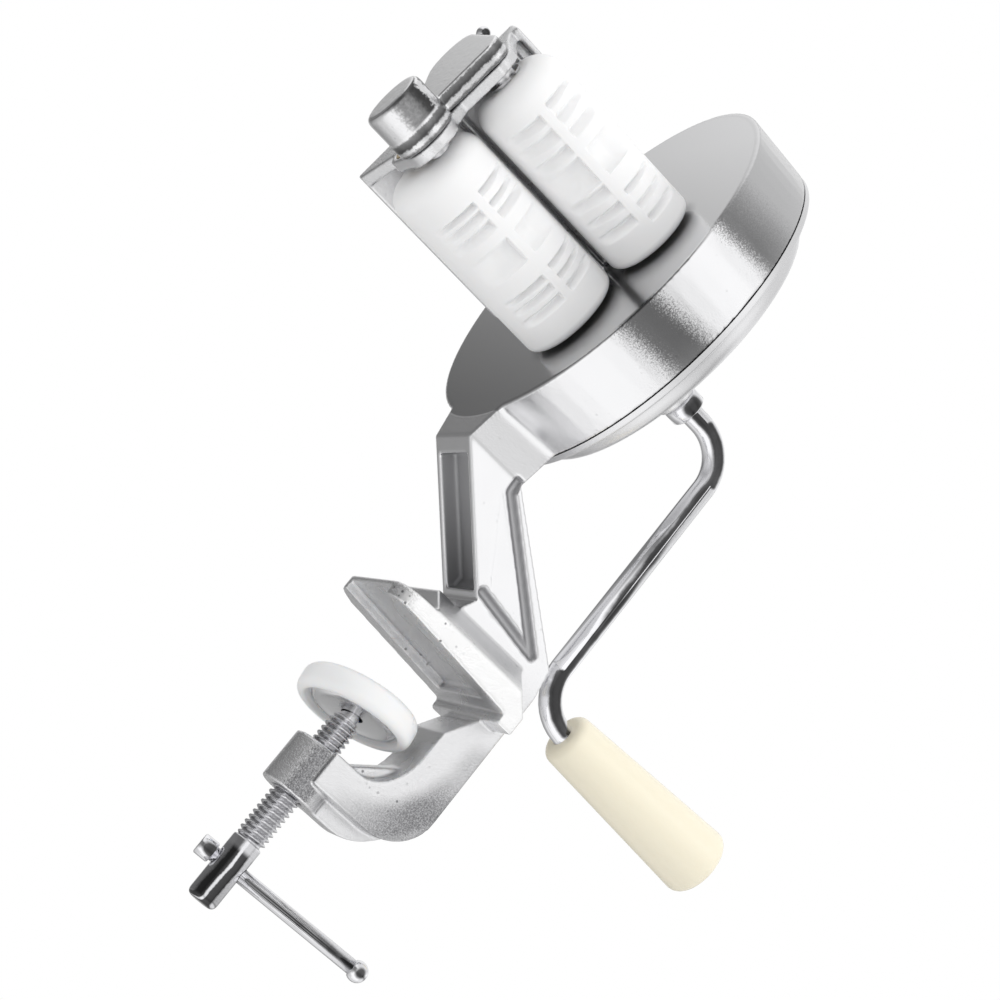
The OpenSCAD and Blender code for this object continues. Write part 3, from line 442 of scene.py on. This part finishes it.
def casting_material():
    mat, nt, b = tree("cast_aluminium")
    b.inputs["Metallic"].default_value = 1.0
    x, y, z = coords(nt)
    dz = math_node(nt, "SUBTRACT", z, DRUM_Z * MM)
    r = radius(nt, x, dz)
    on_face = times(nt, rise(nt, r, 53.2, 52.6), rise(nt, y, -24.8, -25.2), rise(nt, y, -26.4, -25.9))
    off_face = math_node(nt, "SUBTRACT", 1.0, on_face)
    on_side = times(nt, rise(nt, r, 50.0, 51.5), rise(nt, z, 52.0, 56.0))

    # Grain, coarser on the clamp's bow, the jaw and the bracket than on the arm
    coarse = math_node(nt, "MAXIMUM", rise(nt, z, 16.0, 2.0), rise(nt, y, -30.0, -34.0))
    fine = linear(nt, times(nt, noise(nt, 3400, 3, 0.85), on_side), 0.25, noise(nt, 2100, 3, 0.75))
    grain = linear(nt, noise(nt, 220, 3, 0.6), 0.7, fine)
    height = times(nt, grain, linear(nt, coarse, 0.8, 0.28), off_face)
    put(nt, b.inputs["Normal"], bump(nt, height, 0.75, 0.00018))

    # Scattered pits, and painted shade that darkens the crevices
    v = node(nt, "TexVoronoi", {"Scale": 430.0, "Vector": point(nt)})
    some = smooth(nt, noise(nt, 70, 3), 0.50, 0.68)
    pit = times(nt, smooth(nt, v.outputs["Distance"], 0.22, 0.08), some, off_face,
                linear(nt, coarse, 0.75, 0.2))
    base = mix(nt, pit, CAST, CAST_PIT)
    ao = node(nt, "AmbientOcclusion", {"Distance": 0.0035}, samples=6)
    crevice_shade = smooth(nt, ao.outputs["AO"], 0.80, 0.30)
    base = mix(nt, times(nt, crevice_shade, 0.75), base, CAST_CREVICE_SHADE)

    # Painted shade in the grooves and the front pocket, which are also duller
    groove, pocket = mark(nt, "groove"), mark(nt, "pocket")
    base = mix(nt, times(nt, groove, 0.9), base, CAST_GROOVE_SHADE)
    # The pocket's painted shade is darker towards its foot
    deep = mix(nt, rise(nt, z, 14.0, 40.0), *POCKET_PAINTED_SHADES)
    base = mix(nt, times(nt, pocket, 0.85), base, deep)

    # The bow's dark grainy band, and painted shade on the side of the threaded boss that faces +X
    speck = smooth(nt, noise(nt, 2600, 3, 0.75), 0.36, 0.66)
    speck = mix(nt, speck, *SPECK_SHADES)
    boss_painted_shade = times(nt, rise(nt, radius(nt, x, y), 8.6, 8.0), rise(nt, z, -32.0, -34.0))
    boss_painted_shade = times(nt, boss_painted_shade, facing(nt, (0.99, -0.12, 0), 0.80, 0.97, 0.3))
    grain_and_shade = math_node(nt, "MAXIMUM", mark(nt, "band"), boss_painted_shade)
    base = mix(nt, times(nt, grain_and_shade, 0.85), base, speck)

    # Sand texture of the throat's back wall
    patch = times(nt, rise(nt, z, -5.5, -6.5), rise(nt, z, -26.0, -24.0),
                  rise(nt, y, 21.5, 22.2), rise(nt, y, 30.0, 29.6),
                  rise(nt, math_node(nt, "ABSOLUTE", x), 7.5, 7.0))
    sand = mix(nt, noise(nt, 2600, 2, 0.7), *SAND_SHADES)
    base = mix(nt, times(nt, patch, 0.75), base, sand)

    # Painted shade darkens the drum's face towards its foot, and its side has painted reflection bands with
    # sparkling edges
    base = mix(nt, on_face, base, ramp(nt, times(nt, z, 6.0), FACE_PAINTED_SHADE), "MULTIPLY")
    turned = times(nt, math_node(nt, "ARCTAN2", dz, x), 1 / math.pi)
    turned = linear(nt, y, -0.7, jitter(nt, turned, 0.085, 2600, 3, 0.8))
    shade = ramp(nt, linear(nt, turned, 0.5, 0.5), [(0.5 + a / 360, level) for a, level in DRUM_REFLECTION_BANDS])
    base = mix(nt, on_side, base, shade, "MULTIPLY")

    # Painted highlight on the jaw's near side, with the pits left dark
    no_pit = math_node(nt, "SUBTRACT", 1.0, pit)
    jaw_highlight = times(nt, rise(nt, x, 16.5, 19.0), rise(nt, z, 22.0, 18.0), no_pit)
    base = mix(nt, jaw_highlight, base, CAST_HIGHLIGHT)
    put(nt, b.inputs["Base Color"], base)

    rough = linear(nt, coarse, 0.08, linear(nt, noise(nt, 90, 2), 0.16, 0.10))
    rough = mix(nt, math_node(nt, "MAXIMUM", groove, pocket), rough, (0.62, 0.62, 0.62))
    put(nt, b.inputs["Roughness"], mix(nt, on_face, rough, (0.17, 0.17, 0.17)))
    return mat


def plastic(name, color, rough, deep, wave, sss):
    mat, nt, b = tree(name)
    dark = tuple(c * (1 - deep) for c in color)
    put(nt, b.inputs["Base Color"], mix(nt, noise(nt, 55, 3, 0.5), dark, color))
    put(nt, b.inputs["Roughness"], linear(nt, noise(nt, 300, 2), 0.12, rough - 0.06))
    put(nt, b.inputs["Normal"], bump(nt, noise(nt, 240, 3, 0.6), wave, 0.0002))
    b.inputs["IOR"].default_value = 1.49
    b.inputs["Subsurface Weight"].default_value = sss
    b.inputs["Subsurface Radius"].default_value = (1.0, 0.9, 0.8)
    b.inputs["Subsurface Scale"].default_value = 0.0012
    return mat


mats = {
    "cast_aluminium": casting_material(),
    "cover_aluminium": metal("cover_aluminium", (0.80, 0.80, 0.81), 0.34, 0.10, 900),
    "latch_metal": metal("latch_metal", (0.84, 0.84, 0.85), 0.15, 0.30, 700,
                         pits=0.8, shade=latch_painted_reflection, edge_rough=0.27),
    "bearing_brass": metal("bearing_brass", (0.72, 0.55, 0.28), 0.25, 0.05, 1200, streak=0.3),
    "shaft_steel": metal("shaft_steel", (0.66, 0.66, 0.67), 0.2, 0.03, 1200, streak=0.2),
    "gear_metal": metal("gear_metal", (0.34, 0.34, 0.35), 0.45, 0.4, 2200),
    "fastener_steel": metal("fastener_steel", (0.58, 0.58, 0.59), 0.28, 0.1, 1500),
    "polished_steel": metal("polished_steel", (0.86, 0.86, 0.88), 0.07, 0.04, 700,
                            pits=0.35, shade=rod_painted_reflection),
    "screw_steel": metal("screw_steel", (0.78, 0.78, 0.80), 0.13, 0.16, 900,
                         pits=0.5, shade=screw_painted_reflection),
    "roller_plastic": plastic("roller_plastic", (0.95, 0.95, 0.953), 0.42, 0.02, 0.05, 0.15),
    "grip_plastic": plastic("grip_plastic", (0.905, 0.845, 0.68), 0.24, 0.01, 0.02, 0.1),
    "pad_metal": metal("pad_metal", (0.86, 0.86, 0.87), 0.22, 0.06, 1200, streak=0.1),
    "pad_plastic": plastic("pad_plastic", (0.90, 0.905, 0.91), 0.30, 0.03, 0.06, 0.8),
}
slots = {s["node"]: s["material_slot"] for s in frame["record"]["subparts"]}


# Mesh helpers

def finish_piece(o, body, slot, replaced=None):
    # Gives a piece the material of its slot and the body it moves with, and hides the node it replaces
    if o.name not in scene.collection.objects:
        scene.collection.objects.link(o)
    o.data.materials.clear()
    o.data.materials.append(mats[slot])
    if replaced:
        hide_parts(replaced)
    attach(o, body)


def smooth_by_angle(me, degrees):
    for p in me.polygons:
        p.use_smooth = True
    me.set_sharp_from_angle(angle=math.radians(degrees))


def piece_of(name, new_name):
    # Copy of a CAD node's mesh, welded and shaded smooth
    bm = bmesh.new()
    bm.from_mesh(frame["nodes"][name].data)
    bmesh.ops.remove_doubles(bm, verts=bm.verts, dist=1e-6)
    me = bpy.data.meshes.new(new_name)
    bm.to_mesh(me)
    bm.free()
    smooth_by_angle(me, 32)
    return bpy.data.objects.new(new_name, me)


def apply_modifiers(o):
    if o.name not in scene.collection.objects:
        scene.collection.objects.link(o)
    dg = bpy.context.evaluated_depsgraph_get()
    me = bpy.data.meshes.new_from_object(o.evaluated_get(dg))
    o.modifiers.clear()
    old = o.data
    o.data = me
    bpy.data.meshes.remove(old)


def add_smooth(o, name, factor, rounds, group=""):
    s = o.modifiers.new(name, "SMOOTH")
    s.factor = factor
    s.iterations = rounds
    s.vertex_group = group


def soften(o, voxel, factor, rounds, sculpt=None):
    # Remeshes a cast piece, lets sculpt move its points and relaxes its edges
    m = o.modifiers.new("remesh", "REMESH")
    m.mode = "VOXEL"
    m.voxel_size = voxel
    apply_modifiers(o)
    marks = {}
    if sculpt:
        co = np.empty(len(o.data.vertices) * 3)
        o.data.vertices.foreach_get("co", co)
        co = co.reshape(-1, 3) / MM
        crease, marks = sculpt(co)
        o.data.vertices.foreach_set("co", (co * MM).ravel())
        group = o.vertex_groups.new(name="crease")
        for tenth in range(1, 11):
            group.add([int(i) for i in np.nonzero(np.round(crease * 10) == tenth)[0]], tenth / 10, "REPLACE")
        add_smooth(o, "crease", 0.6, 90, "crease")
    add_smooth(o, "soft", factor, rounds)
    apply_modifiers(o)
    o.vertex_groups.clear()
    for name, values in marks.items():
        layer = o.data.attributes.new(name, "FLOAT", "POINT")
        layer.data.foreach_set("value", values.astype(np.float32))
    for p in o.data.polygons:
        p.use_smooth = True


def step(a, b, v):
    t = np.clip((v - a) / (b - a), 0, 1)
    return t * t * (3 - 2 * t)


def to_line(y, z, points):
    # Distance in Y and Z to a line through points
    best = np.full(y.shape, 1e9)
    for (ay, az), (by, bz) in zip(points, points[1:]):
        dy, dz = by - ay, bz - az
        t = np.clip(((y - ay) * dy + (z - az) * dz) / (dy * dy + dz * dz), 0, 1)
        best = np.minimum(best, np.hypot(y - ay - t * dy, z - az - t * dz))
    return best


def grid_mesh(name, pts):
    # Closed mesh from rings of points, pts[ring][place]
    rows, cols = pts.shape[:2]
    faces = []
    for i in range(rows - 1):
        for j in range(cols):
            k = (j + 1) % cols
            faces.append((i * cols + j, i * cols + k, (i + 1) * cols + k, (i + 1) * cols + j))
    faces.append(tuple(range(cols - 1, -1, -1)))
    faces.append(tuple(range((rows - 1) * cols, rows * cols)))
    me = bpy.data.meshes.new(name)
    me.from_pydata(pts.reshape(-1, 3).tolist(), [], faces)
    me.update()
    bm = bmesh.new()
    bm.from_mesh(me)
    bmesh.ops.recalc_face_normals(bm, faces=bm.faces)
    bm.to_mesh(me)
    bm.free()
    smooth_by_angle(me, 50)
    return bpy.data.objects.new(name, me)


def lathe(name, outline, n):
    # Turned round Z from radius and height, with a hair's width left at the axis
    th = np.linspace(0, 2 * math.pi, n, endpoint=False)
    rings = [(max(r, 0.002), z) for r, z in outline]
    pts = np.array([[[r * math.cos(t), r * math.sin(t), z] for t in th] for r, z in rings])
    return grid_mesh(name, pts * MM)


def turned_y(name, outline, z, n):
    # The same round an axis along Y at this height
    o = lathe(name, outline, n)
    o.data.transform(Matrix.Translation((0, 0, z * MM)) @ Matrix.Rotation(-math.pi / 2, 4, "X"))
    return o


def rounded(points, radius, steps):
    # Outline with its inner corners rounded
    out = [points[0]]
    for a, b, c in zip(points, points[1:], points[2:]):
        a, b, c = (Vector(p) for p in (a, b, c))
        r = min(radius, (a - b).length * 0.45, (c - b).length * 0.45)
        p, q = b + (a - b).normalized() * r, b + (c - b).normalized() * r
        for i in range(steps + 1):
            t = i / steps
            out.append(tuple(p * (1 - t) ** 2 + b * 2 * t * (1 - t) + q * t * t))
    out.append(points[-1])
    return out


def bore(o, drill):
    # Cuts a hole through a turned piece with a rod that is then removed
    scene.collection.objects.link(drill)
    m = o.modifiers.new("bore", "BOOLEAN")
    m.operation = "DIFFERENCE"
    m.object = drill
    m.solver = "EXACT"
    apply_modifiers(o)
    smooth_by_angle(o.data, 40)
    me = drill.data
    bpy.data.objects.remove(drill)
    bpy.data.meshes.remove(me)


# Casting: a softened copy of the solid

def close_web(me):
    # Fills the web behind the front pocket, flush to the arm's rims
    ty, tz = (ARM_FOOT[0] - FACE_Y) / ARM_SLOPE, (ARM_FOOT[1] - NECK_Z) / ARM_SLOPE
    ring = [(FACE_Y + ty * a - tz * b, NECK_Z + tz * a + ty * b) for a, b in WEB_SLOPE] + WEB_REST
    n = len(ring)
    walls = [(i, i + n, (i + 1) % n + n, (i + 1) % n) for i in range(n)]
    filler = bpy.data.meshes.new("filler")
    filler.from_pydata([(sx * WEB_X * MM, y * MM, z * MM) for sx in (-1, 1) for y, z in ring], [],
                       [tuple(range(n)), tuple(range(2 * n - 1, n - 1, -1))] + walls)
    bm = bmesh.new()
    bm.from_mesh(me)
    bm.from_mesh(filler)
    bmesh.ops.recalc_face_normals(bm, faces=bm.faces)
    bm.to_mesh(me)
    bm.free()


def sculpt_casting(co):
    x, y, z = co.T
    ax, sx = np.abs(x), np.sign(x)
    # The drum's rear edge stays flat under the cover
    rim = (np.hypot(x, z - DRUM_Z) > 44) & (y > REAR_RIM_Y[0]) & (y < REAR_RIM_Y[1]) & (z > 52)
    co[rim, 1] = np.minimum(y[rim], REAR_RIM_FLAT_Y)
    # Soft grooves part the flush webs from the flange
    d = to_line(y, z, GROOVE_LINE)
    groove = (ax > 9.5) & (ax < 10.9) & (d < GROOVE_R)
    cut = GROOVE_DEPTH * np.sqrt(np.clip(1 - (d[groove] / GROOVE_R) ** 2, 0, 1))
    co[groove, 0] = sx[groove] * (GROOVE_X - cut)
    # Masks for the material: painted shade and dullness in the grooves and the long front pocket, and the
    # bow's dark outer band
    ax = np.abs(co[:, 0])
    side = np.clip((ax - 8.2) / 0.8, 0, 1) * (ax < 11.0)
    depth = ((y - FACE_Y) * (NECK_Z - ARM_FOOT[1]) + (z - NECK_Z) * (ARM_FOOT[0] - FACE_Y)) / ARM_SLOPE
    in_pocket = (depth < 5.0) & (ax < 8.6) & (z > 8) & (z < NECK_Z)
    on_flange = (z < -6) & (ax > 6.0) & (ax < 10.0)
    low = 0.45 + 0.55 * step(10, 26, y) * step(-18, -30, z)
    marks = {
        "groove": step(1.7, 1.0, d) * side,
        "pocket": step(0.3, 0.9, depth) * in_pocket,
        "band": step(7.5, 2.0, to_line(y, z, BOW_LINE)) * on_flange * step(2, 14, y) * low,
    }
    # The neck runs into the drum's side without a crease
    from_root = np.hypot(ax - NECK_ROOT[0], z - NECK_ROOT[1])
    crease = step(8.0, 2.5, from_root) * (y > -25.0) * (y < -7.2)
    return crease, marks


casting = piece_of("frame_casting", "casting")
close_web(casting.data)
soften(casting, CASTING_GRID * MM, 0.5, 3, sculpt_casting)
finish_piece(casting, "frame", "cast_aluminium", "frame_casting")

latch = piece_of("roller_latch", "latch")
soften(latch, LATCH_GRID * MM, 0.6, 14)
finish_piece(latch, "latch", "latch_metal", "roller_latch")


# Rollers: two fields each, with grooves and a pocket on both sides of the field's spine

def roller_cuts(s, th, d, spine, grooves, pocket):
    half = math.degrees(math.asin(2 * SPINE_HALF_W / d))
    p0, p1 = pocket[0] * ROLLER_L, pocket[1] * ROLLER_L
    u = (s - p0) / (p1 - p0)
    bowl = np.where((u > 0) & (u < 1), np.sin(np.clip(u, 0, 1) * math.pi) ** 0.65, 0) * step(0.0, 0.16, u)
    depth = np.zeros((len(s), len(th)))
    for field in range(2):
        angle = (np.degrees(th) - spine - 180 * field + 180) % 360 - 180
        for off, shares in zip((-angle, angle), grooves):
            cuts = np.array(shares) * ROLLER_L
            inside = step(half - 0.6, half + 1.6, off)
            side = inside * (1 - step(40, 64, off))
            # Fins stand a little below the surface, more so towards their ends
            band = np.zeros_like(s)
            for lo, hi in ((cuts[0][0], cuts[2][1]), (cuts[3][0], cuts[-1][1])):
                band = np.maximum(band, step(lo - 0.2, lo + 0.5, s) * (1 - step(hi - 0.3, hi + 0.6, s)))
            fin = 0.12 + 0.55 * step(16, 52, off)
            along = np.zeros_like(s)
            for y0, y1 in cuts:
                w = y1 - y0
                cut = step(y0 - 0.25, y0 + 0.45 * w, s) * (1 - step(y1 - 0.55 * w, y1 + 0.4 * w, s))
                along = np.maximum(along, cut)
            depth = np.maximum(depth, np.outer(band, fin * side))
            depth = np.maximum(depth, np.outer(along, RIB_CUT * side))
            reach = 1 - step(30, 62, off + 9 * np.abs(u - 0.5)[:, None] ** 2)
            depth = np.maximum(depth, BOWL_CUT * bowl[:, None] * inside * reach)
    return depth


def roller(name, at, d, spine, grooves, pocket, body):
    th = np.linspace(0, 2 * math.pi, 540, endpoint=False)
    # The rounded ends get more rings
    front = ROLLER_FRONT_R * (1 - np.cos(np.linspace(0, math.pi / 2, 12)))
    rear = ROLLER_L - ROLLER_BACK_R * (1 - np.cos(np.linspace(0, math.pi / 2, 10)))
    s = np.unique(np.round(np.concatenate([np.linspace(0, ROLLER_L, 300), front, rear]), 5))
    base = np.full_like(s, d / 2)
    for r, inward in ((ROLLER_FRONT_R, s), (ROLLER_BACK_R, ROLLER_L - s)):
        end = inward < r
        base[end] = d / 2 - r + np.sqrt(np.clip(r * r - (r - inward[end]) ** 2, 0, None))
    r = base[:, None] - roller_cuts(s, th, d, spine, grooves, pocket)
    pts = np.zeros((len(s), len(th), 3))
    pts[..., 0] = (at[0] + r * np.cos(th)) * MM
    pts[..., 1] = (ROLLER_Y0 + s)[:, None] * MM
    pts[..., 2] = (at[1] + r * np.sin(th)) * MM
    finish_piece(grid_mesh(name, pts), body, "roller_plastic", body)


# Ends of the grooves as shares of the roller's length, on one side of the spine and on the other
upper_grooves = [
    [[0.168, 0.212], [0.246, 0.302], [0.344, 0.392], [0.596, 0.648], [0.698, 0.738], [0.782, 0.826]],
    [[0.149, 0.181], [0.219, 0.263], [0.303, 0.347], [0.681, 0.708], [0.765, 0.798], [0.844, 0.874]]]
lower_grooves = [
    [[0.231, 0.258], [0.277, 0.312], [0.336, 0.380], [0.689, 0.716], [0.740, 0.773], [0.802, 0.838]],
    [[0.214, 0.240], [0.286, 0.310], [0.340, 0.372], [0.677, 0.702], [0.739, 0.763], [0.800, 0.832]]]
roller("roller_high", (24.44938, 107.36807), 23.8, -17, upper_grooves, (0.415, 0.585), "upper_roller")
roller("roller_low", (15.88223, 81.76341), 26.2, -8, lower_grooves, (0.443, 0.593), "lower_roller")


# Clamp screw: a real helix between the neck and the plain head

def screw_thread():
    core = THREAD_R - THREAD_DEPTH
    th = np.linspace(0, 2 * math.pi, 72, endpoint=False)
    rings = []
    for z in list(np.arange(THREAD_Z0, THREAD_Z1, PITCH / 14)) + [THREAD_Z1]:
        turn = (z / PITCH - th / (2 * math.pi)) % 1.0
        tooth = np.clip((0.5 - np.abs(turn - 0.5)) * 2 / 0.80 - 0.08, 0, 1)
        fade = max(min(1.0, (z - THREAD_Z0) / 1.2, (THREAD_Z1 - z) / 1.0), 0)
        r = core + THREAD_DEPTH * np.clip(tooth * 1.05, 0, 1) * fade
        rings.append(np.stack([r * np.cos(th), r * np.sin(th), np.full_like(th, z)], axis=1))
    return grid_mesh("screw_thread", np.array(rings) * MM)


finish_piece(screw_thread(), "screw", "screw_steel", "clamp_screw")
head = lathe("screw_head", rounded([(0, HEAD_Z0), (THREAD_R, HEAD_Z0), (THREAD_R, THREAD_Z0),
                                    (3.03, -61.7), (0, -61.7)], 1.9, 8), 128)
drill = lathe("drill", [(0, -8), (CROSS_HOLE_R, -8), (CROSS_HOLE_R, 8), (0, 8)], 48)
drill.data.transform(Matrix.Translation((0, 0, CROSS_HOLE_Z * MM))
                     @ Matrix.Rotation(-math.radians(CROSS_HOLE_TURN), 4, "Z")
                     @ Matrix.Rotation(-math.pi / 2, 4, "X"))
bore(head, drill)
finish_piece(head, "screw", "screw_steel", "clamp_screw")
neck = lathe("screw_neck", [(0, -24.9), (2.37, -24.9), (2.37, -21.6), (3.55, -21.5),
                            (3.55, -20.9), (2.4, -20.3), (0, -20.3)], 64)
finish_piece(neck, "screw", "screw_steel", "clamp_screw")

# Rear cover: a turned dome with its flange, and the crank's long boss
dome = rounded([(51.1, -6.7), (51.1, -4.86), (44.6, -4.86), (43.6, 1.8), (0, 1.8)], 3.4, 8)
cover = turned_y("cover_dome", [(44.2, -6.7), (51.1, -6.78)] + dome[1:], DRUM_Z, 160)
finish_piece(cover, "frame", "cover_aluminium", "rear_cover")
boss = rounded([(0, 0.0), (7.0, 0.0), (6.4, 2.4), (6.0, 14.4), (3.0, 14.4), (0, 14.3)], 0.9, 4)
finish_piece(turned_y("cover_boss", boss, CRANK_Z, 96), "frame", "cover_aluminium", "rear_cover")

# Round and bent pieces are smooth copies of their solids, and all the others keep the solid itself
REMADE = {"frame_casting", "roller_latch", "upper_roller", "lower_roller", "clamp_screw", "rear_cover"}
SKINS = {"crank_rod", "crank_collar", "handle_grip", "grip_washer", "latch_finger_pin",
         "tommy_bar", "tommy_bar_knobs", "pad_cup", "pad_cap"}
for name in sorted(set(frame["nodes"]) - REMADE):
    solid = frame["nodes"][name]
    if name in SKINS:
        finish_piece(piece_of(name, name + "_skin"), solid["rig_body"], slots[name], name)
    else:
        solid.data.materials.clear()
        solid.data.materials.append(mats[slots[name]])
